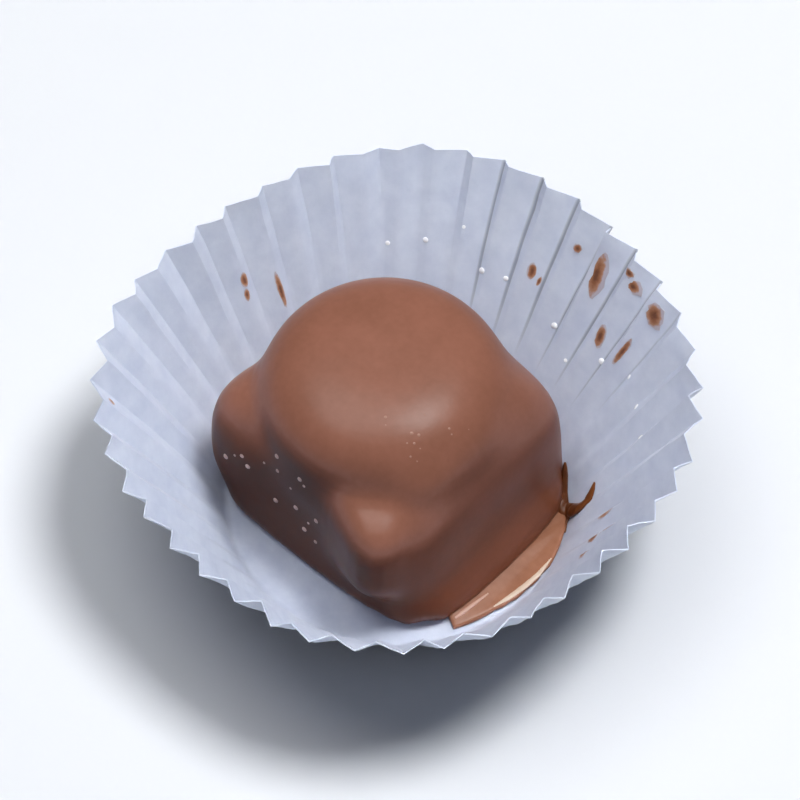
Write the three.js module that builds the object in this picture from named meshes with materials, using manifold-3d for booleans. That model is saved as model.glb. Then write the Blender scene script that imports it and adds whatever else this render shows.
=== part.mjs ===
// A bite-sized brownie coated in milk chocolate, sitting in its fluted white paper case.
//
// Millimetres, +Z up. The origin is on the underside, at the middle of the case's round base.
// +X and +Y run square to the sides of the cake. The corner at +X -Y is the one with the nose.

import * as THREE from 'three';
import { mergeVertices } from 'three/addons/utils/BufferGeometryUtils.js';
import Module from 'manifold-3d';

const degree = Math.PI / 180;

// ---------------------------------------------------------------- paper case: driving sizes

const paper = 0.5;              // wall, drawn thicker than the real sheet so that it is a sound solid
const baseRadius = 17.5;        // flat round base, 35 mm across
const rimRadius = 29;           // at the rim, half way between the outer and the inner folds
const caseHeight = 20;
const fluteCount = 43;
const firstFold = 2.0 * degree; // direction of the first outer fold
const wallHeights = [1, 2.5, 5, 8.5, 12, 16];

// The rim isn't quite round. Each entry bulges it by size, lobes times round, first towards at.
const rimBulges = [
  { lobes: 2, size: 0.37, at: 95 * degree },
  { lobes: 3, size: 0.30, at: 87 * degree },
  { lobes: 4, size: 0.70, at: 35 * degree },
];

// The cake has pushed some pleats open and others over. By the direction in degrees that they
// face: opening is the share of the full fold depth that is left, and lean is how far the inner
// fold is pushed over, 1 being a third of a flute onwards and -1 a third back.
const pleats = [
  { facing: -150, opening: 0.68, lean: 0 },
  { facing: -130, opening: 0.74, lean: 0 },
  { facing: -30, opening: 0.74, lean: 0 },
  { facing: 0, opening: 0.76, lean: 0 },
  { facing: 30, opening: 0.72, lean: 0.1 },
  { facing: 50, opening: 0.68, lean: 0.5 },
  { facing: 70, opening: 0.50, lean: 1 },
  { facing: 90, opening: 0.40, lean: 1 },
  { facing: 110, opening: 0.36, lean: 1 },
  { facing: 130, opening: 0.34, lean: 0.1 },
  { facing: 150, opening: 0.40, lean: -0.8 },
  { facing: 170, opening: 0.52, lean: -0.8 },
  { facing: 185, opening: 0.62, lean: -0.2 },
  { facing: 210, opening: 0.68, lean: 0 },
];

// ---------------------------------------------------------------- brownie: driving sizes

// The coated cake is a few rounded lumps melted into each other. middle and half are a lump's
// centre and half sizes, corner and crest say how square it is seen from above and from the side
// (2 is round, more is squarer), narrowing is how much slimmer it gets towards its top, and turn
// is its turn about Z.
const cakeBlock = {
  middle: [-1.6, 1.3, 5.0], half: [14.0, 13.4, 12.0], corner: 5.7, crest: 5.0, narrowing: 0.05, turn: 0,
};
const pillowTop = {
  middle: [-2.8, 0.8, 15.2], half: [12.45, 12.7, 7.7], corner: 2.0, crest: 2.8, narrowing: -0.03, turn: 0,
};
const leftShoulder = {
  middle: [-12.2, -7.8, 9.2], half: [4.3, 4.2, 7.4], corner: 2.5, crest: 2.8, narrowing: 0, turn: 0,
};
const frontNose = {
  middle: [5.4, -10.6, 10.6], half: [5.0, 3.1, 5.6], corner: 2.6, crest: 3.2, narrowing: 0, turn: -24 * degree,
};
const rightFlank = {
  middle: [4.9, -1.6, 12.5], half: [5.5, 6.8, 6.6], corner: 3, crest: 5, narrowing: 0.08, turn: 0,
};
const rightShoulder = {
  middle: [4.3, 5.5, 10.5], half: [6.6, 7.0, 8.2], corner: 3, crest: 3, narrowing: 0, turn: 0,
};
const rightSkirt = {
  middle: [9.0, 1.2, 0.5], half: [5.2, 11.1, 5.0], corner: 4.2, crest: 2.2, narrowing: 0, turn: 0,
};
const lumps = [
  cakeBlock, pillowTop, leftShoulder, frontNose, rightFlank, rightShoulder, rightSkirt,
];
const lumpMelt = 0.85;           // how far neighbouring lumps run into each other
const sideMelt = 0.4;           // how softly the cake's corners are pressed in by the paper
const paperClearance = 0.3;     // between the chocolate and the inner folds

// Chocolate that ran down the +X side and set as a thin ledge out to the edge of the paper base.
const ledgeRadius = 16.9;
const ledgeTurn = 37 * degree;  // the ledge reaches this far either side of +X
const ledgeInside = 10;         // X of its inner edge, inside the cake
const ledgeThickness = 1.3;
const ledgeRounding = 0.4;

const turnSteps = 84;           // columns round the brownie
const sideSteps = 34;           // rows from its top down to its bottom edge
const underRows = 2;            // rows across its flat underside

// ---------------------------------------------------------------- paper case: shape

const wallSlant = Math.hypot(rimRadius - baseRadius, caseHeight);
const flutePush = 0.35 * 2 * Math.PI / fluteCount; // turn of an inner fold at a lean of 1

function foldMiddleRadius(z) {
  return baseRadius + (rimRadius - baseRadius) * z / caseHeight;
}

// The case is pressed from a flat disc. What the wall loses in girth as it is folded up
// goes into the flutes, so they start from nothing at the base and are deepest at the rim.
function fluteDepth(z) {
  const flatRadius = baseRadius + wallSlant * z / caseHeight;
  const foldedRadius = foldMiddleRadius(z);
  const spare = Math.max(0, flatRadius ** 2 - foldedRadius ** 2);
  return Math.PI / fluteCount * Math.sqrt(spare);
}

function rimBulge(angle, z) {
  let bulge = 0;
  for (const { lobes, size, at } of rimBulges) {
    bulge += size * Math.cos(lobes * (angle - at));
  }
  return bulge * (z / caseHeight) ** 1.5;
}

// Opening and lean of the pleats in one direction, read between the two nearest entries.
function pleatFacing(angle) {
  const first = pleats[0].facing;
  const facing = first + ((((angle / degree - first) % 360) + 360) % 360);
  const around = [...pleats, { ...pleats[0], facing: first + 360 }];
  const next = around.findIndex((entry) => entry.facing > facing);
  const before = around[next - 1];
  const share = (facing - before.facing) / (around[next].facing - before.facing);
  return {
    opening: THREE.MathUtils.lerp(before.opening, around[next].opening, share),
    lean: THREE.MathUtils.lerp(before.lean, around[next].lean, share),
  };
}

// Radius inside which the chocolate stays clear of the paper's inner folds.
function insideFolds(z) {
  return foldMiddleRadius(z) - fluteDepth(z) / 2 - paper - paperClearance;
}

function makeCaseGeometry() {
  const heights = [...wallHeights, caseHeight];
  const profile = [[0, 0], [baseRadius, 0]];
  for (const z of heights) {
    profile.push([foldMiddleRadius(z), z]);
  }
  for (const z of heights.reverse()) {
    profile.push([foldMiddleRadius(z) - paper, z]);
  }
  profile.push([baseRadius - paper, paper], [0, paper]);
  const points = profile.map(([radius, z]) => new THREE.Vector2(radius, z));

  // One column of points on each outer fold and one on each inner fold.
  const columns = 2 * fluteCount;
  const geometry = new THREE.LatheGeometry(points, columns);
  geometry.deleteAttribute('normal');
  geometry.deleteAttribute('uv');
  const position = geometry.getAttribute('position');
  for (let column = 0; column <= columns; column++) {
    const angle = firstFold + (column % columns) / columns * 2 * Math.PI;
    const { opening, lean } = pleatFacing(angle);
    const innerFold = column % 2 === 1;
    points.forEach(({ x: radius, y: z }, row) => {
      const depth = (innerFold ? 0.5 - opening : 0.5) * fluteDepth(z);
      const moved = radius > 0 ? radius + depth + rimBulge(angle, z) : 0;
      const pushed = innerFold ? lean * flutePush * Math.sqrt(z / caseHeight) : 0;
      const index = column * points.length + row;
      position.setXYZ(index, moved * Math.cos(angle + pushed), moved * Math.sin(angle + pushed), z);
    });
  }
  return facingOut(mergeVertices(geometry, 1e-4));
}

// ---------------------------------------------------------------- brownie: shape

// Roughly how far a point is outside a lump, negative when it is inside.
function outsideLump(lump, x, y, z) {
  const dx = x - lump.middle[0];
  const dy = y - lump.middle[1];
  const dz = z - lump.middle[2];
  const along = dx * Math.cos(lump.turn) + dy * Math.sin(lump.turn);
  const across = dy * Math.cos(lump.turn) - dx * Math.sin(lump.turn);
  const rise = THREE.MathUtils.clamp(dz / lump.half[2], -1.2, 1.2);
  const slimmer = 1 - lump.narrowing * rise;
  const a = Math.abs(along) / (lump.half[0] * slimmer);
  const b = Math.abs(across) / (lump.half[1] * slimmer);
  const c = Math.abs(dz) / lump.half[2];
  const plan = (a ** lump.corner + b ** lump.corner) ** (lump.crest / lump.corner);
  const size = (plan + c ** lump.crest) ** (1 / lump.crest) + 1e-6;
  return (1 - 1 / size) * Math.hypot(dx, dy, dz) * 0.9;
}

// The smaller of several distances, blended where they are close.
function meltTogether(distances, reach) {
  const nearest = Math.min(...distances);
  let sum = 0;
  for (const distance of distances) {
    sum += Math.exp((nearest - distance) / reach);
  }
  return nearest - reach * Math.log(sum);
}

function outsideBrownie(x, y, z) {
  const cake = meltTogether(lumps.map((lump) => outsideLump(lump, x, y, z)), lumpMelt);
  const pressed = (Math.hypot(x, y) - insideFolds(z)) * 0.8;
  return -meltTogether([-cake, -pressed], sideMelt);
}

// Distance from the heart of the cake to its surface in one direction, by halving.
const heart = new THREE.Vector3(-1.5, 0.8, 8);
const furthest = 30;

function surfaceDistance(direction) {
  let inside = 0;
  let outside = furthest;
  for (let i = 0; i < 26; i++) {
    const middle = (inside + outside) / 2;
    const point = direction.clone().multiplyScalar(middle).add(heart);
    if (outsideBrownie(point.x, point.y, point.z) < 0) {
      inside = middle;
    } else {
      outside = middle;
    }
  }
  return inside;
}

// Polar angle, from straight up, of the bottom edge of the cake as seen from its heart.
function bottomEdgePolar(angle) {
  let inside = 0;
  let outside = furthest;
  for (let i = 0; i < 26; i++) {
    const middle = (inside + outside) / 2;
    const x = heart.x + middle * Math.cos(angle);
    const y = heart.y + middle * Math.sin(angle);
    if (outsideBrownie(x, y, paper) < 0) {
      inside = middle;
    } else {
      outside = middle;
    }
  }
  return Math.PI - Math.atan2(inside, heart.z - paper);
}

function makeCakeGeometry() {
  const rows = sideSteps + underRows;
  const geometry = new THREE.SphereGeometry(1, turnSteps, rows);
  geometry.deleteAttribute('normal');
  geometry.deleteAttribute('uv');
  const position = geometry.getAttribute('position');
  for (let column = 0; column <= turnSteps; column++) {
    const angle = (column % turnSteps) / turnSteps * 2 * Math.PI;
    const edgePolar = bottomEdgePolar(angle);
    for (let row = 0; row <= rows; row++) {
      const index = row * (turnSteps + 1) + column;
      const under = Math.max(0, row - sideSteps) / underRows;
      const polar = Math.min(row, sideSteps) / sideSteps * edgePolar;
      const flat = Math.sin(polar);
      const direction = new THREE.Vector3(flat * Math.cos(angle), flat * Math.sin(angle), Math.cos(polar));
      const reach = row === sideSteps || under > 0
        ? (paper - heart.z) / direction.z
        : surfaceDistance(direction);
      const point = direction.multiplyScalar(reach);
      point.x *= 1 - under;
      point.y *= 1 - under;
      position.setXYZ(index, heart.x + point.x, heart.y + point.y, heart.z + point.z);
    }
  }
  return facingOut(mergeVertices(geometry, 1e-4));
}

function makeLedgeGeometry() {
  const outline = new THREE.Shape();
  const radius = ledgeRadius - ledgeRounding;
  outline.absarc(0, 0, radius, -ledgeTurn, ledgeTurn, false);
  outline.lineTo(ledgeInside, radius * Math.sin(ledgeTurn) * 0.8);
  outline.lineTo(ledgeInside, -radius * Math.sin(ledgeTurn) * 0.8);
  outline.closePath();
  const geometry = new THREE.ExtrudeGeometry(outline, {
    depth: ledgeThickness - ledgeRounding,
    curveSegments: 24,
    bevelThickness: ledgeRounding,
    bevelSize: ledgeRounding,
    bevelSegments: 2,
  });
  // The bevel under the ledge goes below the paper's surface and is trimmed off there.
  geometry.translate(0, 0, paper);
  geometry.deleteAttribute('normal');
  geometry.deleteAttribute('uv');
  return mergeVertices(geometry, 1e-4);
}

// ---------------------------------------------------------------- joining solids

// Turns every face round if the closed mesh has a negative volume.
function facingOut(geometry) {
  const position = geometry.getAttribute('position');
  const index = geometry.getIndex();
  const corner = [new THREE.Vector3(), new THREE.Vector3(), new THREE.Vector3()];
  const kept = [];
  let volume = 0;
  for (let i = 0; i < index.count; i += 3) {
    const triangle = [index.getX(i), index.getX(i + 1), index.getX(i + 2)];
    if (new Set(triangle).size < 3) continue;
    triangle.forEach((vertex, k) => corner[k].fromBufferAttribute(position, vertex));
    volume += corner[0].dot(corner[1].clone().cross(corner[2])) / 6;
    kept.push(triangle);
  }
  const turned = volume < 0 ? kept.map(([a, b, c]) => [a, c, b]) : kept;
  geometry.setIndex(turned.flat());
  return geometry;
}

const wasm = await Module();
wasm.setup();

function toSolid(geometry) {
  return new wasm.Manifold(new wasm.Mesh({
    numProp: 3,
    vertProperties: new Float32Array(geometry.getAttribute('position').array),
    triVerts: new Uint32Array(geometry.getIndex().array),
  }));
}

function toGeometry(solid) {
  const mesh = solid.getMesh();
  const geometry = new THREE.BufferGeometry();
  geometry.setAttribute('position', new THREE.BufferAttribute(new Float32Array(mesh.vertProperties), 3));
  geometry.setIndex(new THREE.BufferAttribute(new Uint32Array(mesh.triVerts), 1));
  return geometry;
}

function makeBrownieGeometry() {
  const slab = new THREE.BoxGeometry(80, 80, 10);
  slab.translate(0, 0, paper - 5);
  slab.deleteAttribute('normal');
  slab.deleteAttribute('uv');
  const below = toSolid(mergeVertices(slab, 1e-4));
  const ledge = toSolid(makeLedgeGeometry()).subtract(below);
  return toGeometry(toSolid(makeCakeGeometry()).add(ledge));
}

// ---------------------------------------------------------------- the part

const brownie = new THREE.Mesh(
  makeBrownieGeometry(),
  new THREE.MeshStandardMaterial({ color: 0x8f5f4e, roughness: 0.45, metalness: 0 }),
);
brownie.name = 'brownie';

const paperCase = new THREE.Mesh(
  makeCaseGeometry(),
  new THREE.MeshStandardMaterial({ color: 0xd9dce4, roughness: 0.8, metalness: 0 }),
);
paperCase.name = 'paper_case';

const group = new THREE.Group();
group.add(paperCase, brownie);

export default group;
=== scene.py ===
# %% [markdown]
# # A milk-chocolate brownie in its paper case
#
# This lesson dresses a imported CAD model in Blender. The model holds two solids: the coated
# brownie, and the fluted paper case that it sits in. Here both get the form and finish that a
# camera sees, and the small things that are too thin for the solids are added: smears and a
# drip of chocolate on the paper, and grains on the coat.
#
# Everything is in metres in the CAD's own frame. The origin is under the middle of the base, +Z
# is up, and the corner of the cake at +X -Y is the one with the nose. Sizes below are written in
# millimetres and multiplied by `mm`, because that is how a brownie is measured.

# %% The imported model
import math
import random

import bmesh
import bpy
from mathutils import Matrix, Vector


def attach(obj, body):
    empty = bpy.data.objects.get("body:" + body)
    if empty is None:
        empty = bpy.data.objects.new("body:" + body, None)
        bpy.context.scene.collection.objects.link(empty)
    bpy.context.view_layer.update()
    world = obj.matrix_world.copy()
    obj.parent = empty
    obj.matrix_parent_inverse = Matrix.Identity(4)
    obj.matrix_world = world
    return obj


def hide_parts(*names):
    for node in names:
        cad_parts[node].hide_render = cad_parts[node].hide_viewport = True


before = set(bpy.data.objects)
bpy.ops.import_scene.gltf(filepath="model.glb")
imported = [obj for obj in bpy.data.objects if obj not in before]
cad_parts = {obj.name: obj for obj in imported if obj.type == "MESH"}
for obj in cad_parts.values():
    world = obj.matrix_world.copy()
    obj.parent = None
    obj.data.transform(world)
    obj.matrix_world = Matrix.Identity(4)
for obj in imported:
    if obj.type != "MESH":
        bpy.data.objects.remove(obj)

mm = 0.001
degree = math.pi / 180
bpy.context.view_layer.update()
print("nodes:", sorted(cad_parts))

# %% [markdown]
# ## Camera
#
# The view looks down on the nosed corner from about 57 degrees above the table, from far away,
# so that the verticals hardly converge. A long lens at a large distance gives that. The picture
# leans by two degrees, as a hand-held picture does, so the camera is rolled by that much.

# %% Camera
camera_place = Vector((238.3, -287.34, 572.55)) * mm
camera_aim = Vector((0, 0, 18.5)) * mm
camera_roll = 2.18 * degree

lens = bpy.data.cameras.new("camera")
lens.sensor_width = 36
lens.lens = 300
lens.clip_start = 0.05
camera = bpy.data.objects.new("camera", lens)
bpy.context.scene.collection.objects.link(camera)
looking = (camera_aim - camera_place).to_track_quat("-Z", "Y").to_matrix()
camera.matrix_world = Matrix.Translation(camera_place) @ (
    looking @ Matrix.Rotation(camera_roll, 3, "Z")).to_4x4()
bpy.context.scene.camera = camera
print("camera distance in mm:", round((camera_place - camera_aim).length / mm))

# %% [markdown]
# ## Table and light
#
# Chocolate shows its form by how its faces darken as they turn from the light. Two soft lamps
# overhead do that: the key, a little behind the cake, gives the dome its broad sheen, and a larger
# one at the other side opens the shade between dome and shoulder. Both leave the two front faces
# dark. Two weak fill lamps are for the paper and for the table; near the end of this lesson they
# are flagged off the cake. The table is a plain pale plane, larger than any view of the object
# needs.

# %% Table and light
bpy.context.scene.view_settings.view_transform = "Standard"

bpy.ops.object.select_all(action="DESELECT")
bpy.ops.mesh.primitive_plane_add(size=6, location=(0, 0, 0))
table = bpy.context.object
table.name = "table"

world = bpy.data.worlds.new("studio")
world.use_nodes = True
world.node_tree.nodes["Background"].inputs["Color"].default_value = (0.93, 0.96, 1.0, 1)
world.node_tree.nodes["Background"].inputs["Strength"].default_value = 0.02
bpy.context.scene.world = world

# The lamps hang this far from the brownie. Distance and size are in metres, energy is in watts.
lamp_distance = 0.9
lamps = {
    "key_softbox": dict(towards=(0.15, 0.25, 0.95), size=0.3, energy=4.9),
    "overhead_softbox": dict(towards=(-0.26, -0.08, 0.95), size=0.6, energy=4.2),
    "paper_fill": dict(towards=(0.55, -0.45, 0.8), size=0.4, energy=0.25),
    "table_fill": dict(towards=(0.1, -0.7, 0.7), size=0.8, energy=0.8),
}
for name, lamp in lamps.items():
    direction = Vector(lamp["towards"]).normalized()
    softbox = bpy.data.lights.new(name, "AREA")
    softbox.shape = "DISK"
    softbox.size = lamp["size"]
    softbox.energy = lamp["energy"]
    holder = bpy.data.objects.new(name, softbox)
    holder.location = direction * lamp_distance
    holder.rotation_euler = direction.to_track_quat("Z", "Y").to_euler()
    bpy.context.scene.collection.objects.link(holder)
print("lamps:", ", ".join(lamps))

# %% [markdown]
# ## Helpers for modelling by hand
#
# Blender's operators act on whatever is selected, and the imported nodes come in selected. So each
# new shape starts from nothing selected. In edit mode, corners of the mesh are then chosen by
# where they are, as one would box-select them. A modifier is applied as soon as it is added, so
# the next tool works on its result.

# %% Starting a shape, choosing its corners and applying modifiers
def start_shape(name, add_primitive, **settings):
    """Adds one primitive with nothing else selected, and names it."""
    bpy.ops.object.select_all(action="DESELECT")
    add_primitive(**settings)
    shape = bpy.context.object
    shape.name = name
    shape.data.name = name
    return shape


def choose(shape, wanted):
    """In edit mode, selects the corners whose place in mm answers yes to wanted."""
    mesh = bmesh.from_edit_mesh(shape.data)
    mesh.select_mode = {"VERT"}
    for corner in mesh.verts:
        corner.select_set(wanted(corner.co / mm))
    mesh.select_flush_mode()
    bmesh.update_edit_mesh(shape.data)


def apply_modifier(shape, kind, **settings):
    """Adds a modifier with its settings and applies it at once."""
    modifier = shape.modifiers.new(kind.lower(), kind)
    for setting, value in settings.items():
        setattr(modifier, setting, value)
    bpy.context.view_layer.objects.active = shape
    bpy.ops.object.modifier_apply(modifier=modifier.name)


def select_only(shapes):
    """In object mode, selects these shapes and nothing else; the first becomes active."""
    bpy.ops.object.select_all(action="DESELECT")
    for shape in shapes:
        shape.select_set(True)
    bpy.context.view_layer.objects.active = shapes[0]


def join_shapes(shapes, name):
    """Joins shapes into the first, and names the result."""
    select_only(shapes)
    bpy.ops.object.join()
    shapes[0].name = name
    shapes[0].data.name = name
    return shapes[0]


# %% [markdown]
# ## The paper case
#
# A baking case is stamped from a flat disc of greaseproof paper. What the wall loses in girth as
# it is folded up goes into the flutes, so they start from nothing at the base and are deepest at
# the rim. All flutes are alike, so one is modelled and spun round. The flute starts as a flat
# grid. Row by row it is lifted to its height, brought to its width, and its middle is pushed out
# into the fold.

# %% Sizes of the paper case
base_radius = 17.5
rim_radius = 29
case_height = 20
flute_count = 43
first_fold = 2.0 * degree
paper_thickness = 0.12
wall_slant = math.hypot(rim_radius - base_radius, case_height)
half_flute = math.pi / flute_count


def fold_middle_radius(z):
    """Radius half way between the outer and the inner folds at a height."""
    return base_radius + (rim_radius - base_radius) * z / case_height


def flute_depth(z):
    """How far the folds go in and out at a height, to take up the girth of the flat disc."""
    flat_radius = base_radius + wall_slant * z / case_height
    return half_flute * math.sqrt(max(0, flat_radius ** 2 - fold_middle_radius(z) ** 2))


row_heights = [0, 0.1, 0.3, 0.6, 1, 1.5, 2.2, 3, 4, 5, 6, 7, 8, 9, 10, 11, 12, 13, 14, 15, 16,
               17, 17.8, 18.6, 19.3, 20]
columns = 8
print("flute at the rim in mm: depth", round(flute_depth(case_height), 2),
      "width", round(2 * half_flute * rim_radius, 2))

# %% One flute
# The grid starts well below the case, so that no row is taken for one that is already lifted.
start_height = -40
# Two corners this near to each other, in mm, are at the same place.
same_place = 1e-3
# The foot of the wall curves in by this much, over the same height.
foot_rounding = 0.5
flute = start_shape("paper_case_sheet", bpy.ops.mesh.primitive_grid_add,
                    x_subdivisions=columns, y_subdivisions=len(row_heights) - 1,
                    size=2 * mm, location=(0, 0, start_height * mm),
                    rotation=(math.pi / 2, 0, math.pi / 2))
bpy.ops.object.transform_apply(location=True, rotation=True, scale=True)
bpy.ops.object.mode_set(mode="EDIT")
print("grid corners:", len(flute.data.vertices))
row_step = 2 / (len(row_heights) - 1)
for row, z in enumerate(row_heights):
    row_start = start_height - 1 + row * row_step
    choose(flute, lambda place: abs(place.z - row_start) < row_step / 4)
    rounding = foot_rounding * max(0, 1 - z / foot_rounding) ** 2
    inner = fold_middle_radius(z) - flute_depth(z) / 2 - rounding
    outer = fold_middle_radius(z) + flute_depth(z) / 2 - rounding
    edge_x = inner * math.cos(half_flute)
    bpy.ops.transform.translate(value=(edge_x * mm, 0, (z - row_start) * mm))
    bpy.ops.transform.resize(value=(1, inner * math.sin(half_flute), 1), center_override=(0, 0, 0))
    for column in range(1, columns):
        across = 2 * column / columns - 1
        out = (1 - abs(across)) * (outer - edge_x)
        side = across * inner * math.sin(half_flute)
        choose(flute, lambda place: abs(place.z - z) < same_place
               and abs(place.y - side) < same_place)
        bpy.ops.transform.translate(value=(out * mm, 0, 0))

# %% [markdown]
# Spinning makes 42 more copies. Their side edges touch, so corners that lie together are merged
# into one sheet, and its bottom edge is filled with the round base.

# %% Spinning the flute and filling the base
bpy.ops.mesh.select_all(action="SELECT")
bpy.ops.transform.rotate(value=-first_fold, orient_axis="Z", center_override=(0, 0, 0))
bpy.ops.mesh.select_all(action="SELECT")
bpy.ops.mesh.spin(steps=flute_count - 1, dupli=True, center=(0, 0, 0), axis=(0, 0, 1),
                  angle=2 * math.pi * (flute_count - 1) / flute_count)
bpy.ops.mesh.select_all(action="SELECT")
bpy.ops.mesh.remove_doubles(threshold=0.01 * mm)
choose(flute, lambda place: place.z < same_place)
bpy.ops.mesh.edge_face_add()
bpy.ops.mesh.inset(thickness=3 * mm)
bpy.ops.mesh.inset(thickness=5 * mm)
bpy.ops.mesh.select_all(action="SELECT")
bpy.ops.mesh.normals_make_consistent(inside=False)
bpy.ops.object.mode_set(mode="OBJECT")
case = flute
print("paper corners:", len(case.data.vertices), "faces:", len(case.data.polygons))

# %% [markdown]
# In a case that has been filled and handled the flutes are no longer alike. Behind the cake they
# are pressed open and pushed over, so a wide face is followed by a thin step; at the right they
# are still sharp. The sheet keeps its corners, and a formula moves each one along its own flute:
# the table says how open the pleats are and how far they lean in each direction. Moving
# eighty-six folds by hand would give the same sheet in eighty-six steps.

# %% Pleats pressed open and pushed over
# Direction in degrees, share of the fold depth that is left, lean of the inner fold.
pleats = [
    (-150, 0.68, 0.0), (-130, 0.74, 0.0), (-30, 0.74, 0.0), (0, 0.76, 0.0), (30, 0.72, 0.1),
    (50, 0.68, 0.5), (70, 0.50, 1.0), (90, 0.40, 1.0), (110, 0.36, 1.0), (130, 0.34, 0.1),
    (150, 0.40, -0.8), (170, 0.52, -0.8), (185, 0.62, -0.2), (210, 0.68, 0.0), (230, 0.74, 0.0),
]
# Waves round the case: how many, how high at the rim in mm, and where one crest is.
rim_bulges = [(2, 0.37, 95 * degree), (3, 0.30, 87 * degree), (4, 0.70, 35 * degree)]
bulge_growth = 1.5
# How far a pleat that is pushed right over has moved its inner fold, as a share of a flute.
lean_reach = 0.35
rise_growth = 3
# Corners lower than this, in mm, belong to the flat base and stay where they are.
base_edge = 0.05


def pleat_facing(angle):
    """Opening and lean of the pleats in one direction, read between two entries of the table."""
    facing = pleats[0][0] + (angle / degree - pleats[0][0]) % 360
    for before, after in zip(pleats, pleats[1:]):
        if facing <= after[0]:
            share = (facing - before[0]) / (after[0] - before[0])
            return [a + (b - a) * share for a, b in zip(before[1:], after[1:])]
    return pleats[-1][1:]


chance = random.Random(11)
fold_habits = [dict(turn=chance.uniform(-0.07, 0.07), lean=chance.uniform(-0.08, 0.08),
                    depth=chance.uniform(0.84, 1.1), rise=chance.uniform(-0.3, 0.3))
               for _ in range(flute_count)]
flute_turn = 2 * math.pi / flute_count
# A flute runs from one outer fold to the next, and its inner fold is half way. The step of a pleat
# that was pushed over gets painted shade, so each corner also keeps how much. That step runs from
# the first of these shares of a flute, past the outer fold, to the second.
pinched = case.data.attributes.new("pinched", "FLOAT", "POINT")
step_from = 0.8
step_to = 0.05
fold_shade_growth = 1.4
for corner in case.data.vertices:
    z = corner.co.z / mm
    if z < base_edge:
        continue
    angle = math.atan2(corner.co.y, corner.co.x)
    number, along = divmod((angle - first_fold) / flute_turn, 1)
    this_fold = fold_habits[int(number) % flute_count]
    next_fold = fold_habits[int(number + 1) % flute_count]
    opening, lean = pleat_facing(angle)
    grown = math.sqrt(z / case_height)
    if along > step_from or along < step_to:
        pinched.data[corner.index].value = max(0, lean) * min(1, fold_shade_growth * grown)
    inner_fold = 0.5 + (lean_reach * lean + this_fold["lean"]) * grown
    if along < 0.5:
        start, end, share = this_fold["turn"] * grown, inner_fold, along / 0.5
        rise = this_fold["rise"] * (1 - share)
    else:
        start, end, share = inner_fold, 1 + next_fold["turn"] * grown, along / 0.5 - 1
        rise = next_fold["rise"] * share
    outer = fold_middle_radius(z) + flute_depth(z) / 2
    radius = math.hypot(corner.co.x, corner.co.y) / mm
    radius = outer - (outer - radius) * opening * this_fold["depth"]
    for lobes, size, at in rim_bulges:
        radius += size * math.cos(lobes * (angle - at)) * (z / case_height) ** bulge_growth
    angle = first_fold + (int(number) + start + (end - start) * share) * flute_turn
    z += rise * (z / case_height) ** rise_growth
    corner.co = Vector((radius * math.cos(angle), radius * math.sin(angle), z)) * mm
print("pleats moved:", flute_count, "size in mm:", [round(s / mm, 2) for s in case.dimensions])

# %% [markdown]
# A real case is crumpled a little by the hands that filled it. Soft noise moves the wall sideways
# and in and out, more towards the rim, because the base holds it. Last, the sheet gets its
# thickness, about a tenth of a millimetre, and gets it inwards, so that its outer face stays close
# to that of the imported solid.

# %% Small unevenness and paper thickness
loosening = 1.3
free = case.vertex_groups.new(name="free_of_the_base")
for corner in case.data.vertices:
    height = corner.co.z / mm / case_height
    free.add([corner.index], min(1, max(0, height)) ** loosening, "REPLACE")
wander = bpy.data.textures.new("wander", "CLOUDS")
wander.cloud_type = "COLOR"
wander.noise_scale = 22 * mm
wander.noise_depth = 1
apply_modifier(case, "DISPLACE", texture=wander, direction="RGB_TO_XYZ", mid_level=0.5,
               strength=0.9 * mm, vertex_group=free.name, texture_coords="LOCAL")
dents = bpy.data.textures.new("dents", "CLOUDS")
dents.noise_scale = 3 * mm
dents.noise_depth = 2
apply_modifier(case, "DISPLACE", texture=dents, direction="NORMAL", mid_level=0.5,
               strength=0.4 * mm, vertex_group=free.name, texture_coords="LOCAL")
apply_modifier(case, "SOLIDIFY", thickness=paper_thickness * mm, offset=-1)
case.vertex_groups.clear()
select_only([case])
bpy.ops.object.shade_smooth_by_angle(angle=40 * degree)
print("case size in mm:", [round(s / mm, 2) for s in case.dimensions])

# %% [markdown]
# ## The brownie
#
# The bite was cut as a small square block, with a rounded heap of filling on top, and dipped. The
# coat melts everything together. It is blocked out the way it grew: seven cubes are swollen
# towards balls, each by its own amount, and scaled to their sizes. The cake block is the squarest
# and the pillow on top the roundest. A narrow lump at the front corner gives the nose, one at the
# left gives the shoulder, and two more fill the +X side under the pillow. The last is the skirt,
# where the dip gathered low on the +X side.

# %% The seven lumps
# Middle and half size in mm, how far the cube is swollen to a ball, and its turn in degrees.
lumps = {
    "cake_block": dict(middle=(-1.6, 1.3, 5.0), half=(14.0, 13.4, 12.0), roundness=0.3, turn=0),
    "pillow_top": dict(middle=(-2.8, 0.8, 15.2), half=(12.45, 12.7, 7.7), roundness=0.88, turn=0),
    "left_shoulder": dict(middle=(-12.2, -7.8, 9.2), half=(4.3, 4.2, 7.4), roundness=0.9, turn=0),
    "front_nose": dict(middle=(5.4, -10.6, 10.6), half=(5.0, 3.1, 5.6), roundness=0.76, turn=-24),
    "right_flank": dict(middle=(4.9, -1.6, 12.5), half=(5.5, 6.8, 6.6), roundness=0.4, turn=0),
    "right_shoulder": dict(middle=(4.3, 5.5, 10.5), half=(6.6, 7.0, 8.2), roundness=0.7, turn=0),
    "right_skirt": dict(middle=(9.0, 1.2, 0.5), half=(5.2, 11.1, 5.0), roundness=0.6, turn=0),
}
lump_shapes = []
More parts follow.
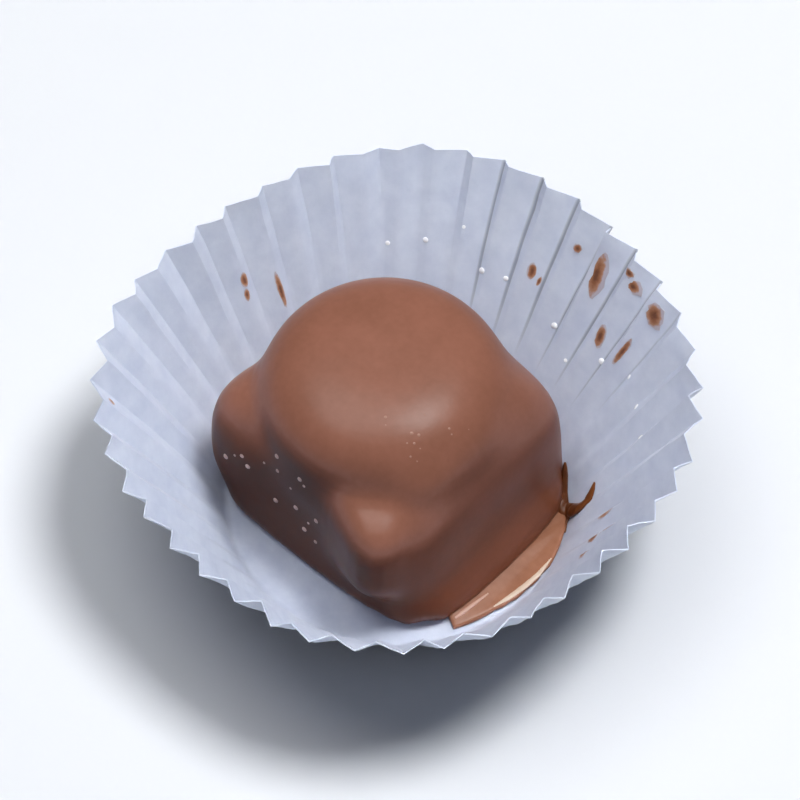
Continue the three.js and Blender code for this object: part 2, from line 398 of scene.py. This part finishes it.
for name, lump in lumps.items():
    middle = Vector(lump["middle"]) * mm
    shape = start_shape(name, bpy.ops.mesh.primitive_cube_add, size=2 * mm, location=middle)
    bpy.ops.object.mode_set(mode="EDIT")
    bpy.ops.mesh.subdivide(number_cuts=20)
    bpy.ops.transform.tosphere(value=lump["roundness"])
    bpy.ops.object.mode_set(mode="OBJECT")
    swollen = shape.dimensions / mm
    bpy.ops.object.mode_set(mode="EDIT")
    bpy.ops.transform.resize(value=[2 * half / size for half, size in zip(lump["half"], swollen)],
                             center_override=middle)
    bpy.ops.transform.rotate(value=-lump["turn"] * degree, orient_axis="Z", center_override=middle)
    bpy.ops.object.mode_set(mode="OBJECT")
    print(name, "size in mm:", [round(s / mm, 1) for s in shape.dimensions])
    lump_shapes.append(shape)

# %% [markdown]
# ## Melting the lumps into one coat
#
# A voxel remesh makes one closed skin of the lumps, a third of a millimetre fine. It comes before
# the cut at the foot, because a cut through lumps that still overlap would leave a hollow. A
# second remesh evens out the flat foot, and a smoothing pass rounds the creases as a thick dip
# does. Shrinkwrap then lays the skin on the imported solid, twice, each time with some smoothing
# after it. Above the foot the form that is seen and the imported form so agree to a few
# hundredths of a millimetre. The imported foot stands on a thicker sheet than the real one, so here
# it is stretched down to it.

# %% One skin
coat_grain = 0.33
solid_foot = 0.5
stretch_below = 3
coat = join_shapes(lump_shapes, "brownie_coat")
bpy.ops.object.transform_apply(location=True, rotation=True, scale=True)
apply_modifier(coat, "REMESH", mode="VOXEL", voxel_size=coat_grain * mm)
bpy.ops.object.mode_set(mode="EDIT")
bpy.ops.mesh.select_all(action="SELECT")
bpy.ops.mesh.bisect(plane_co=(0, 0, solid_foot * mm), plane_no=(0, 0, 1), clear_inner=True,
                    use_fill=True)
bpy.ops.object.mode_set(mode="OBJECT")
apply_modifier(coat, "REMESH", mode="VOXEL", voxel_size=coat_grain * mm)
apply_modifier(coat, "SMOOTH", factor=0.5, iterations=20)
for settling in (14, 7):
    apply_modifier(coat, "SHRINKWRAP", target=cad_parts["brownie"],
                   wrap_method="NEAREST_SURFACEPOINT", wrap_mode="ON_SURFACE")
    apply_modifier(coat, "SMOOTH", factor=0.5, iterations=settling)
foot_stretch = (stretch_below - paper_thickness) / (stretch_below - solid_foot)
bpy.ops.object.mode_set(mode="EDIT")
choose(coat, lambda place: place.z < stretch_below)
bpy.ops.transform.resize(value=(1, 1, foot_stretch), center_override=(0, 0, stretch_below * mm))
bpy.ops.object.mode_set(mode="OBJECT")
select_only([coat])
bpy.ops.object.shade_smooth()
print("coat corners:", len(coat.data.vertices))

# %% [markdown]
# ## The ledge of set chocolate
#
# Some of the dip ran down the +X side and set as a thin shelf between the cake and the paper. It
# starts as a round plate nearly as wide as the base. Three cuts leave the segment that shows,
# with a pointed end towards +Y, and extruding gives it its height. Its inner edge is lifted where
# it leans on the cake, and towards +Y it climbs a little way up the paper in four small steps.

# %% Ledge
ledge_radius = 16.7
ledge_inside = 12.0
ledge_from = -28 * degree
ledge_tip = (13.8, 9.3, 0)
ledge_tip_side = (-0.42, -0.91, 0)
ledge_height = 0.55
ledge_lift = 0.55
ledge_grain = 0.14
# Up to the first of these, along X, it leans on the cake. Beyond the second, a radius, it climbs
# the paper: in one step at each of the places along Y, each step a little wider and higher.
leaning_inside = 13.2
climbing_outside = 16
climb_places = (-3, -1, 1, 3.5)
climb_out = 1.014
climb_up = 0.07
ledge = start_shape("chocolate_ledge", bpy.ops.mesh.primitive_circle_add, vertices=128,
                    radius=ledge_radius * mm, fill_type="NGON",
                    location=(0, 0, paper_thickness * mm))
bpy.ops.object.transform_apply(location=True, rotation=True, scale=True)
bpy.ops.object.mode_set(mode="EDIT")
for place, keep_side in (
        ((ledge_inside, 0, 0), (1, 0, 0)),
        ((0, 0, 0), (-math.sin(ledge_from), math.cos(ledge_from), 0)),
        (ledge_tip, ledge_tip_side)):
    bpy.ops.mesh.select_all(action="SELECT")
    bpy.ops.mesh.bisect(plane_co=Vector(place) * mm, plane_no=keep_side, clear_inner=True)
bpy.ops.mesh.select_all(action="SELECT")
bpy.ops.mesh.extrude_region_move(TRANSFORM_OT_translate={"value": (0, 0, ledge_height * mm)})
choose(ledge, lambda place: place.z > ledge_height and place.x < leaning_inside)
bpy.ops.transform.translate(value=(0, 0, ledge_lift * mm))
for climb_from in climb_places:
    choose(ledge, lambda place: place.xy.length > climbing_outside and place.y > climb_from)
    bpy.ops.transform.resize(value=(climb_out, climb_out, 1), center_override=(0, 0, 0))
    bpy.ops.transform.translate(value=(0, 0, climb_up * mm))
bpy.ops.mesh.select_all(action="SELECT")
bpy.ops.mesh.normals_make_consistent(inside=False)
bpy.ops.object.mode_set(mode="OBJECT")
apply_modifier(ledge, "REMESH", mode="VOXEL", voxel_size=ledge_grain * mm)
apply_modifier(ledge, "SMOOTH", factor=0.5, iterations=14)
select_only([ledge])
bpy.ops.object.shade_smooth()
print("ledge size in mm:", [round(s / mm, 2) for s in ledge.dimensions])

# %% [markdown]
# ## Smears and the drip
#
# Dipped cakes are dropped into their cases by hand, and chocolate gets on the paper. Each smear
# is a thin oval laid against the wall: a filled circle is stretched, made ragged, projected onto
# the paper and given a little thickness. It is placed by its turn round the case and its height
# up the wall, so it sits on the paper seen from any side. Its thick core may lie off its middle,
# because a smear is thickest where the cake first touched the paper.

# %% Laying chocolate on the paper
wall_rise = math.atan2(case_height, rim_radius - base_radius)
smear_thickness = 0.05
smear_gap = 0.02
# The oval starts this far inside the middle of the folds, clear of the deepest one.
clear_of_folds = 1.8


def lay_on_paper(name, seed, turn, height, length, width, lean=0, ragged=0.12, core=0):
    """A thin oval against the inside of the wall, its length up the wall, its core to one side."""
    oval = start_shape(name, bpy.ops.mesh.primitive_circle_add, vertices=18, radius=mm,
                       fill_type="TRIFAN")
    bpy.ops.object.mode_set(mode="EDIT")
    bpy.ops.transform.resize(value=(length / 2, width / 2, 1))
    bpy.ops.transform.vertex_random(offset=ragged * width * mm, uniform=0, normal=0, seed=seed)
    bpy.ops.mesh.select_all(action="SELECT")
    bpy.ops.mesh.subdivide(number_cuts=3, smoothness=1)
    bpy.ops.object.mode_set(mode="OBJECT")
    # Each corner keeps how far it is from the core, which is about 1 at the edge of the smear.
    to_edge = oval.data.attributes.new("to_edge", "FLOAT", "POINT")
    for corner, spot in zip(oval.data.vertices, to_edge.data):
        spot.value = 2 * math.hypot(corner.co.x / length / mm, corner.co.y / width / mm - core)
    stand_off = fold_middle_radius(height) - clear_of_folds
    oval.matrix_world = (Matrix.Rotation(turn * degree, 4, "Z")
                         @ Matrix.Translation(Vector((stand_off, 0, height)) * mm)
                         @ Matrix.Rotation(-wall_rise, 4, "Y")
                         @ Matrix.Rotation(lean * degree, 4, "Z"))
    bpy.context.view_layer.update()
    apply_modifier(oval, "SHRINKWRAP", target=case, wrap_method="PROJECT", use_project_z=True,
                   use_negative_direction=True, use_positive_direction=False,
                   offset=smear_gap * mm)
    apply_modifier(oval, "SOLIDIFY", thickness=smear_thickness * mm, offset=1)
    select_only([oval])
    bpy.ops.object.transform_apply(location=True, rotation=True, scale=True)
    return oval


# %% Smears
# Turn and lean in degrees, height, length and width in mm.
smear_sizes = {
    "back_dot": dict(turn=97.9, height=12.9, length=1.9, width=1.0, lean=6, core=-0.08),
    "back_dot_tail": dict(turn=95.3, height=12.3, length=1.2, width=0.45, lean=-5),
    "small_dot": dict(turn=89.6, height=17.4, length=1.1, width=0.95),
    "long_smear": dict(turn=81.8, height=16.7, length=5.5, width=1.6, lean=10, core=0.16, ragged=0.18),
    "rim_dot": dict(turn=72.6, height=18.7, length=1.5, width=1.7, core=0.16, ragged=0.2),
    "rim_touch": dict(turn=75.6, height=19.4, length=0.9, width=1.3, ragged=0.2),
    "rim_blob": dict(turn=64.4, height=18.9, length=2.6, width=2.2, lean=30, core=0.06, ragged=0.2),
    "middle_smear": dict(turn=73.0, height=12.5, length=2.8, width=1.15, lean=12, core=0.05),
    "slanted_smear": dict(turn=65.2, height=13.7, length=4.0, width=0.75, ragged=0.18),
    "stroke_1": dict(turn=24.1, height=8.8, length=3.0, width=1.05, lean=-3),
    "stroke_2": dict(turn=16.1, height=11.6, length=2.1, width=1.0, lean=8),
    "stroke_3": dict(turn=15.2, height=9.3, length=2.1, width=1.1, lean=10),
    "stroke_4": dict(turn=7.3, height=11.0, length=2.1, width=1.2, lean=20),
    "left_dot": dict(turn=172.2, height=13.4, length=1.8, width=0.95, lean=-4),
    "left_dot_tail": dict(turn=172.9, height=11.9, length=1.6, width=0.6, lean=-8),
    "left_thread": dict(turn=163.6, height=10.5, length=4.6, width=0.65, lean=2, ragged=0.25),
    "left_rim_touch": dict(turn=-138, height=19.2, length=1.1, width=0.7),
}
smears = join_shapes([lay_on_paper(name, seed=number + 1, **sizes)
                      for number, (name, sizes) in enumerate(smear_sizes.items())],
                     "chocolate_smears")
print("smears:", len(smear_sizes), "corners:", len(smears.data.vertices))

# %% [markdown]
# ## Small things that sit on a surface
#
# Grains, bells, beads and the drip are all small balls, squashed and copied to their places. A
# ray shot at the coat or the paper finds where each one sits and which way is outward there.

# %% A ball that is copied onto surfaces
ball = start_shape("ball", bpy.ops.mesh.primitive_ico_sphere_add, subdivisions=3, radius=mm)
grain = start_shape("grain", bpy.ops.mesh.primitive_ico_sphere_add, subdivisions=2, radius=mm)
bpy.ops.object.mode_set(mode="EDIT")
bpy.ops.transform.vertex_random(offset=0.12 * mm, uniform=0, normal=0, seed=5)
bpy.ops.object.mode_set(mode="OBJECT")
# A ray shot at the paper starts this far inside the wall.
before_paper = 3


def copy_onto(surface, source, start, towards, size, flat, sink=0.25):
    """A copy of source where a ray hits surface, its flat side against it; places in mm."""
    hit, place, outward, _ = surface.ray_cast(Vector(start) * mm, Vector(towards))
    copy = bpy.data.objects.new(source.name, source.data.copy())
    bpy.context.scene.collection.objects.link(copy)
    copy.matrix_world = (Matrix.Translation(place - outward * size * sink * mm)
                         @ outward.to_track_quat("Z", "Y").to_matrix().to_4x4()
                         @ Matrix.Diagonal((size, size, size * flat, 1)))
    if not hit:
        print("nothing to sit on at", start)
    return copy


def copy_onto_paper(source, turn, height, size, **settings):
    """A copy of source on the inside of the wall, by its turn round the case and its height."""
    outward = Vector((math.cos(turn * degree), math.sin(turn * degree), 0))
    start = outward * (fold_middle_radius(height) - before_paper)
    return copy_onto(case, source, (start.x, start.y, height), outward, size, **settings)


def settle(piece):
    """Puts a joined piece's object at the origin, and shades its round parts smooth."""
    select_only([piece])
    bpy.ops.object.transform_apply(location=True, rotation=True, scale=True)
    bpy.ops.object.shade_smooth_by_angle(angle=50 * degree)


# %% [markdown]
# The drip beside the ledge ran off the cake's back corner onto the paper and split in two. It is
# a string of balls that overlap: a body with an arm up the paper, a short tail, and a thread that
# clings to the cake's edge. A fine remesh melts them into one, and the lowest part is pressed flat
# inside the sheet, so that none of it reaches the table.

# %% Drip
def between(path, steps):
    """The path again with steps - 1 more entries evenly placed between every two."""
    filled = []
    for before, after in zip(path, path[1:]):
        for step in range(steps):
            filled.append([a + (b - a) * step / steps for a, b in zip(before, after)])
    return filled + [list(path[-1])]


# On the paper: turn, height and size of each ball. On the cake's edge: x, y, z and size.
arm_path = [(39.4, 0.2, 0.55), (38.2, 0.4, 0.6), (36.6, 0.9, 0.78), (34.8, 1.6, 0.85),
            (33.9, 2.4, 0.75), (34.3, 3.0, 0.6), (36.0, 3.6, 0.52), (37.0, 4.1, 0.44),
            (38.0, 4.5, 0.36), (39.2, 4.9, 0.22)]
tail_path = [(35.4, 0.7, 0.5), (33.0, 0.6, 0.4), (30.8, 0.6, 0.3), (28.6, 0.6, 0.2)]
thread_path = [(11.85, 12.45, 5.1, 0.18), (11.95, 12.35, 4.4, 0.3), (12.1, 12.2, 3.4, 0.4),
               (12.3, 11.9, 2.4, 0.46), (12.6, 11.5, 1.6, 0.5), (13.1, 11.0, 1.1, 0.55),
               (13.2, 10.4, 0.9, 0.6), (13.8, 10.0, 0.6, 0.6)]
drip_balls = [copy_onto_paper(ball, turn, height, size, sink=-0.36, flat=0.5)
              for turn, height, size in between(arm_path, 3) + between(tail_path, 3)]
for x, y, z, size in between(thread_path, 4):
    drop = bpy.data.objects.new("thread", ball.data.copy())
    bpy.context.scene.collection.objects.link(drop)
    drop.matrix_world = Matrix.Translation(Vector((x, y, z)) * mm) @ Matrix.Scale(size, 4)
    drip_balls.append(drop)
drip = join_shapes(drip_balls, "chocolate_drip")
settle(drip)
drip_grain = 0.09
drip_foot = paper_thickness / 2
apply_modifier(drip, "REMESH", mode="VOXEL", voxel_size=drip_grain * mm)
apply_modifier(drip, "SMOOTH", factor=0.5, iterations=8)
bpy.ops.object.mode_set(mode="EDIT")
choose(drip, lambda place: place.z < drip_foot)
bpy.ops.transform.resize(value=(1, 1, 0), center_override=(0, 0, drip_foot * mm))
bpy.ops.object.mode_set(mode="OBJECT")
settle(drip)
print("drip corners:", len(drip.data.vertices))

# %% [markdown]
# Some light grains of sugar stuck to the shaded face when the coat was wet, and a few tiny air
# bells broke the surface near the highlight. The grains' pale tan is partly a painted glint. Small
# flat near-white beads on the paper are painted glints. Each is too small to be worth a tool of its
# own, so all are copies of the balls.

# %% Grains, bells and beads
# On the -Y face: x, z and size. On the top: x, y and size. On the paper: turn, height and size.
face_grains = [(-12.4, 9.4, 0.29), (-10.3, 11.5, 0.22), (-9.5, 10.4, 0.27), (-6.0, 15.3, 0.26),
               (-5.7, 13.2, 0.2), (-2.6, 15.0, 0.25), (-2.0, 14.4, 0.16), (-5.85, 7.7, 0.28),
               (-3.15, 9.1, 0.27), (-0.27, 9.8, 0.26), (-1.9, 6.5, 0.27), (-0.3, 5.9, 0.2),
               (-11.2, 10.8, 0.14), (-7.6, 12.6, 0.14), (-3.8, 12.1, 0.14), (-1.4, 8.1, 0.14)]
top_bells = [(1.95, -4.5, 0.24), (2.5, -5.1, 0.12), (4.9, -3.9, 0.27), (5.5, -3.5, 0.24),
             (5.7, -4.4, 0.2), (5.2, -4.9, 0.14), (6.2, -5.5, 0.17), (6.9, -5.3, 0.13),
             (7.1, -0.7, 0.19), (7.6, -0.9, 0.14), (4.6, -1.6, 0.1), (6.4, -4.3, 0.12),
             (8.3, 0.9, 0.1)]
glint_beads = [(110.1, 9.8, 0.34), (103.7, 9.9, 0.28), (86.5, 8.6, 0.36), (69.2, 9.8, 0.36),
             (59.4, 11.9, 0.3), (51.9, 11.2, 0.36), (42.9, 11.4, 0.32), (125.0, 11.7, 0.3),
             (134.1, 11.2, 0.26), (78.5, 6.8, 0.22), (116.5, 13.5, 0.2)]
# The rays start well clear of the cake, in front of it and above it.
before_cake = -40
above_cake = 60
grain_scale = 1.2
grains = join_shapes([copy_onto(coat, grain, (x, before_cake, z), (0, 1, 0), grain_scale * size,
                                flat=0.8)
                      for x, z, size in face_grains], "sugar_grains")
bells = join_shapes([copy_onto(coat, ball, (x, y, above_cake), (0, 0, -1), size, sink=0.35,
                               flat=0.5)
                     for x, y, size in top_bells], "chocolate_bells")
beads = join_shapes([copy_onto_paper(ball, turn, height, size, sink=-0.1, flat=0.3)
                     for turn, height, size in glint_beads], "cocoa_butter_beads")
print("grains:", len(face_grains), "bells:", len(top_bells), "beads:", len(glint_beads))

# %% [markdown]
# Two thin beads lie on the ledge: a run where the last of the dip came down, and one along the
# outer edge, where the ledge meets the paper. Both are pale as a painted highlight. Like the drip,
# each is a string of balls that a remesh melts into one. A bevelled curve would do as well, but
# each of its points would need its own height where the ledge climbs.

# %% Beads along the ledge
above_ledge = 9
bead_grain = 0.07


def bead_along(name, path, flat):
    """A thin bead that lies on the ledge along a path of x, y and size."""
    balls = [copy_onto(ledge, ball, (x, y, above_ledge), (0, 0, -1), size, sink=0.1, flat=flat)
             for x, y, size in between(path, 8)]
    bead = join_shapes(balls, name)
    settle(bead)
    apply_modifier(bead, "REMESH", mode="VOXEL", voxel_size=bead_grain * mm)
    apply_modifier(bead, "SMOOTH", factor=0.5, iterations=6)
    return bead


run = bead_along("chocolate_run", [(14.15, -6.9, 0.16), (14.3, -6.0, 0.24), (14.45, -4.6, 0.24),
                                   (14.7, -2.6, 0.14)], 0.7)
edge_bead = bead_along("chocolate_film", [(16.7, 4.9, 0.14), (16.95, 2.7, 0.3), (16.85, 0.7, 0.34),
                                     (16.5, -1.5, 0.3), (16.1, -3.2, 0.14)], 0.4)
for piece in (smears, run, edge_bead, grains, bells, beads):
    settle(piece)
bpy.data.objects.remove(grain)
bpy.data.objects.remove(ball)
print("run corners:", len(run.data.vertices), "film corners:", len(edge_bead.data.vertices))

# %% [markdown]
# ## Finishes
#
# Each finish starts from what the thing is made of. Roughness and IOR start from those of the
# material and are then matched to the real object. Patterns are measured in millimetres: a noise
# texture repeats about once per unit, so its scale is one divided by the size in metres.

# %% Colour, pattern size and one helper for nodes
def linear(hex_colour):
    """An sRGB hex colour as the linear values that shaders work in."""
    channels = [int(hex_colour[at:at + 2], 16) / 255 for at in (1, 3, 5)]
    return [c / 12.92 if c <= 0.04045 else ((c + 0.055) / 1.055) ** 2.4 for c in channels] + [1]


def per(size):
    """The texture scale that gives a pattern of that size in mm."""
    return 1 / (size * mm)


def add_node(material, kind, settings=None, **inputs):
    """Adds a node. An input is a value, or another node's output to link."""
    node = material.node_tree.nodes.new(kind)
    for setting, value in (settings or {}).items():
        setattr(node, setting, value)
    for name, value in inputs.items():
        socket = node.inputs[name.replace("_", " ")]
        if isinstance(value, bpy.types.NodeSocket):
            material.node_tree.links.new(value, socket)
        else:
            socket.default_value = value
    return node


def start_finish(name, roughness, ior):
    """A material with its shader, and the place on the object that its patterns follow."""
    material = bpy.data.materials.new(name)
    material.use_nodes = True
    shader = material.node_tree.nodes["Principled BSDF"]
    shader.inputs["Roughness"].default_value = roughness
    shader.inputs["IOR"].default_value = ior
    place = add_node(material, "ShaderNodeTexCoord").outputs["Object"]
    return material, shader, place


def link(material, output, shader, socket):
    """Links a node's output to an input of the shader."""
    material.node_tree.links.new(output, shader.inputs[socket])


# %% [markdown]
# ### Milk chocolate
#
# Milk chocolate is cocoa butter full of cocoa, sugar and milk solids, so it is brown all through
# and its sheen is soft. Set from a dip, it keeps low ripples and a faint mottle. Shade is painted
# into its colour: the coat is darker where it faces sideways, towards the foot, and most of all
# where it faces -Y. A painted picture could hold that shade, but it would fit only this one shape.
# Here each corner of the coat keeps how light it is painted, and the finish reads it.

# %% Milk chocolate set from a dip
# Painted shade also makes the colour richer, by this share of the brightness that it lacks.
shade_richness = 0.5


def enrobed_chocolate(name, dark, light, roughness, painted_side_value=1.0):
    """Milk chocolate from a dip. The last argument is how bright its painted shade is at the sides."""
    material, shader, place = start_finish(name, roughness, 1.46)
    cloud = add_node(material, "ShaderNodeTexNoise", Vector=place, Scale=per(5.0), Detail=3.0,
                     Roughness=0.5)
    mottle = add_node(material, "ShaderNodeTexNoise", Vector=place, Scale=per(0.7), Detail=2.0)
    both = add_node(material, "ShaderNodeMix", {"data_type": "FLOAT"}, Factor=0.3)
    material.node_tree.links.new(cloud.outputs["Fac"], both.inputs["A"])
    material.node_tree.links.new(mottle.outputs["Fac"], both.inputs["B"])
    ramp = add_node(material, "ShaderNodeValToRGB", Fac=both.outputs["Result"])
    ramp.color_ramp.elements[0].position = 0.35
    ramp.color_ramp.elements[0].color = linear(dark)
    ramp.color_ramp.elements[1].position = 0.65
    ramp.color_ramp.elements[1].color = linear(light)
    facing = add_node(material, "ShaderNodeAttribute", {"attribute_name": "facing_up"})
    brightness = add_node(material, "ShaderNodeMapRange", Value=facing.outputs["Fac"],
                          To_Min=painted_side_value, To_Max=1.0)
    richness = add_node(material, "ShaderNodeMapRange", Value=facing.outputs["Fac"],
                        To_Min=1 + shade_richness * (1 - painted_side_value), To_Max=1.0)
    # Painted shade: where the stored lightness is low, the colour is darkened and made richer.
    painted_shaded = add_node(material, "ShaderNodeHueSaturation", Value=brightness.outputs["Result"],
                      Saturation=richness.outputs["Result"], Color=ramp.outputs["Color"])
    link(material, painted_shaded.outputs["Color"], shader, "Base Color")
    # Bloom scatters part of the gloss that bare cocoa butter would have.
    shader.inputs["Specular IOR Level"].default_value = 0.25
    # The ripples of a few millimetres come from the dip, and the fine grain from sugar and milk
    # solids. Real grains are smaller still; these are as coarse as they need to be to show.
    ripple = add_node(material, "ShaderNodeTexNoise", Vector=place, Scale=per(3.2), Detail=1.0)
    fine = add_node(material, "ShaderNodeTexNoise", Vector=place, Scale=per(0.35), Detail=2.0)
    rippled = add_node(material, "ShaderNodeBump", Strength=0.35, Distance=0.12 * mm,
                       Height=ripple.outputs["Fac"])
    grained = add_node(material, "ShaderNodeBump", Strength=0.25, Distance=0.02 * mm,
                       Height=fine.outputs["Fac"], Normal=rippled.outputs["Normal"])
    link(material, grained.outputs["Normal"], shader, "Normal")
    return material


# %% Where the painted shade lies, and the chocolate of each piece
# Painted shade: the coat keeps its full colour where it faces up, and is darkened where it faces
# sideways, towards the foot, and most of all where it faces -Y. Full colour starts where the Z of
# the normal passes tilt_start, and is reached tilt_span later. It is full only above foot_height
# and foot_span together, in mm, and fades below that to foot_share. The sides have side_share of
# it, except that what faces -Y has none.
tilt_start = 0.06
tilt_span = 0.38
foot_share = 0.3
foot_height = 3
foot_span = 6
side_share = 0.62
facing_up = coat.data.attributes.new("facing_up", "FLOAT", "POINT")
for corner, spot in zip(coat.data.vertices, facing_up.data):
    height = corner.co.z / mm
    upward = min(1, max(0, (corner.normal.z - tilt_start) / tilt_span))
    upward *= min(1, max(foot_share, (height - foot_height) / foot_span))
    spot.value = max(upward, side_share * (1 - max(0, -corner.normal.y)))

# The coat set to a satin. The ledge set in a pool, so it is warmer and a little smoother.
# On the coat the painted shade goes down to a fifth of the brightness at the sides.
coat.data.materials.append(enrobed_chocolate("milk_chocolate_satin", "#8d5d4b", "#986553", 0.34,
                                             painted_side_value=0.2))
ledge.data.materials.append(enrobed_chocolate("milk_chocolate_pooled", "#8f5e44", "#a26f55", 0.3))
# Paler than the coat: painted glints on the bells, a painted highlight on the run and edge bead.
bells.data.materials.append(enrobed_chocolate("milk_chocolate_skin", "#a87c6c", "#b48a7a", 0.25))
run.data.materials.append(enrobed_chocolate("milk_chocolate_run", "#c79c89", "#d2aa98", 0.25))
edge_bead.data.materials.append(enrobed_chocolate("milk_chocolate_film", "#cdb39c", "#dcc8b4", 0.3))
# The drip is thick, so it is the darkest; it gets none of the painted shade.
drip.data.materials.append(enrobed_chocolate("milk_chocolate_drip", "#5c3118", "#7d4722", 0.28))
print("spots with full bloom:", sum(spot.value == 1 for spot in facing_up.data))

# %% [markdown]
# ### Smeared chocolate and greaseproof paper
#
# A smear is only a few hundredths of a millimetre thick at its edge, so the white paper shows
# through there. The edge could be made see-through, but a colour is simpler to match: it goes from
# chocolate at the core, through tan, to nearly that of the paper.
#
# Greaseproof paper is made of fibres beaten so fine that they close up. It is smooth, faintly
# cloudy in clumps of two or three millimetres, white, and it lets some light through. Its colour
# here is a greyer blue than that white: painted shade and a painted cool cast of reflected light.
# A little light scattered below the surface gives that better than a plain white would.

# %% Thin smears of chocolate
smeared, shader, place = start_finish("milk_chocolate_smear", 0.42, 1.46)
edge = add_node(smeared, "ShaderNodeAttribute", {"attribute_name": "to_edge"})
blotch = add_node(smeared, "ShaderNodeTexNoise", Vector=place, Scale=per(0.45), Detail=2.0)
shifted = add_node(smeared, "ShaderNodeMath", {"operation": "MULTIPLY_ADD"})
smeared.node_tree.links.new(blotch.outputs["Fac"], shifted.inputs[0])
shifted.inputs[1].default_value = 0.5
smeared.node_tree.links.new(edge.outputs["Fac"], shifted.inputs[2])
spread = add_node(smeared, "ShaderNodeMapRange", Value=shifted.outputs["Value"], From_Min=0.1,
                  From_Max=1.2)
ramp = add_node(smeared, "ShaderNodeValToRGB", Fac=spread.outputs["Result"])
ramp.color_ramp.elements[0].position = 0.3
ramp.color_ramp.elements[0].color = linear("#6c4535")
ramp.color_ramp.elements[1].position = 1.0
ramp.color_ramp.elements[1].color = linear("#b3aebb")
for position, colour in ((0.5, "#8d5b40"), (0.8, "#ab8068")):
    ramp.color_ramp.elements.new(position).color = linear(colour)
link(smeared, ramp.outputs["Color"], shader, "Base Color")
smears.data.materials.append(smeared)
print("stops in the colour of a smear:", len(ramp.color_ramp.elements))

# %% Greaseproof paper
paper, shader, place = start_finish("greaseproof_paper", 0.52, 1.5)
formation = add_node(paper, "ShaderNodeTexNoise", Vector=place, Scale=per(2.4), Detail=4.0,
                     Roughness=0.6)
ramp = add_node(paper, "ShaderNodeValToRGB", Fac=formation.outputs["Fac"])
# Painted shade and a painted cool cast of light make the paper's white a blue-grey.
ramp.color_ramp.elements[0].position = 0.3
ramp.color_ramp.elements[0].color = linear("#b2bbd3")
ramp.color_ramp.elements[1].position = 0.7
ramp.color_ramp.elements[1].color = linear("#c0c8dc")
# Painted shade: where a pleat was pushed over, its step is darkened, as the shade that lies in it.
crease = add_node(paper, "ShaderNodeAttribute", {"attribute_name": "pinched"})
shade = add_node(paper, "ShaderNodeMapRange", Value=crease.outputs["Fac"], From_Min=0.6,
                 To_Min=1.0, To_Max=0.5)
fold_shaded = add_node(paper, "ShaderNodeHueSaturation", Value=shade.outputs["Result"],
                  Color=ramp.outputs["Color"])
link(paper, fold_shaded.outputs["Color"], shader, "Base Color")
shader.inputs["Subsurface Weight"].default_value = 0.5
shader.inputs["Subsurface Radius"].default_value = (1.0, 1.0, 1.0)
shader.inputs["Subsurface Scale"].default_value = 0.8 * mm
# Single fibres are too fine to see, so the felted bump is drawn half a millimetre coarse.
fibres = add_node(paper, "ShaderNodeTexNoise", Vector=place, Scale=per(0.5), Detail=3.0)
felted = add_node(paper, "ShaderNodeBump", Strength=0.3, Distance=0.05 * mm,
                  Height=fibres.outputs["Fac"])
link(paper, felted.outputs["Normal"], shader, "Normal")
case.data.materials.append(paper)
print("nodes in the paper:", len(paper.node_tree.nodes))

# %% [markdown]
# ### Sugar, the painted glints and the table
#
# A grain of sugar on the coat is filmed with chocolate: a dull pinkish tan with a soft glint; the
# pale tan is partly a painted glint. The beads on the paper are a smooth, nearly white finish that
# is painted glint, and they sparkle under the lamps too. Both are too small for more than a faint
# change of colour. The table is matte, so it shows only the soft shadow.

# %% Sugar, the painted glints on the paper and the table
sugar, shader, place = start_finish("sugar_crystal", 0.35, 1.54)
shade = add_node(sugar, "ShaderNodeTexNoise", Vector=place, Scale=per(1.0))
ramp = add_node(sugar, "ShaderNodeValToRGB", Fac=shade.outputs["Fac"])
# Partly painted glint: the pale end of the tan stands for the glints of the grains.
ramp.color_ramp.elements[0].color = linear("#a98a80")
ramp.color_ramp.elements[1].color = linear("#cdb0a6")
link(sugar, ramp.outputs["Color"], shader, "Base Color")
grains.data.materials.append(sugar)

glint_white, shader, place = start_finish("cocoa_butter", 0.12, 1.46)
shade = add_node(glint_white, "ShaderNodeTexNoise", Vector=place, Scale=per(1.0))
ramp = add_node(glint_white, "ShaderNodeValToRGB", Fac=shade.outputs["Fac"])
# Painted glint: near-white beads that stand for glints on the paper.
ramp.color_ramp.elements[0].color = linear("#e8ecf4")
ramp.color_ramp.elements[1].color = linear("#f7f8fb")
link(glint_white, ramp.outputs["Color"], shader, "Base Color")
beads.data.materials.append(glint_white)

tabletop, shader, _ = start_finish("pale_matte_table", 0.7, 1.5)
shader.inputs["Base Color"].default_value = linear("#c2c5ca")
table.data.materials.append(tabletop)
print("materials:", sorted(material.name for material in bpy.data.materials))

# %% [markdown]
# ## What the fill lamps may light
#
# The near wall of the case would go grey, and the flared case throws a heavy shadow on the table.
# A photographer flags a fill lamp so that it misses the cake; here each fill lamp is linked to
# what it may light. The smears and the beads go with the paper that they lie on.

# %% Linking the fill lamps
for lamp_name, lit in (("paper_fill", (case, smears, beads)), ("table_fill", (table,))):
    receivers = bpy.data.collections.new("lit_by_" + lamp_name)
    for piece in lit:
        receivers.objects.link(piece)
    bpy.data.objects[lamp_name].light_linking.receiver_collection = receivers
    print(lamp_name, "lights", [piece.name for piece in lit])

# %% [markdown]
# ## Fastening everything to the model
#
# The part has one body, so each piece rides on it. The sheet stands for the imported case, and the
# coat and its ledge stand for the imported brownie.

# %% Riding
pieces = {
    "greaseproof_paper": [case],
    "milk_chocolate": [coat, ledge, run, edge_bead, bells, smears, drip, grains, beads],
}
for slot, members in pieces.items():
    for piece in members:
        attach(piece, "root")
        print(piece.name, "triangles:", sum(len(face.vertices) - 2 for face in piece.data.polygons))
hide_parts("paper_case")
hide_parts("brownie")
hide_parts("brownie")
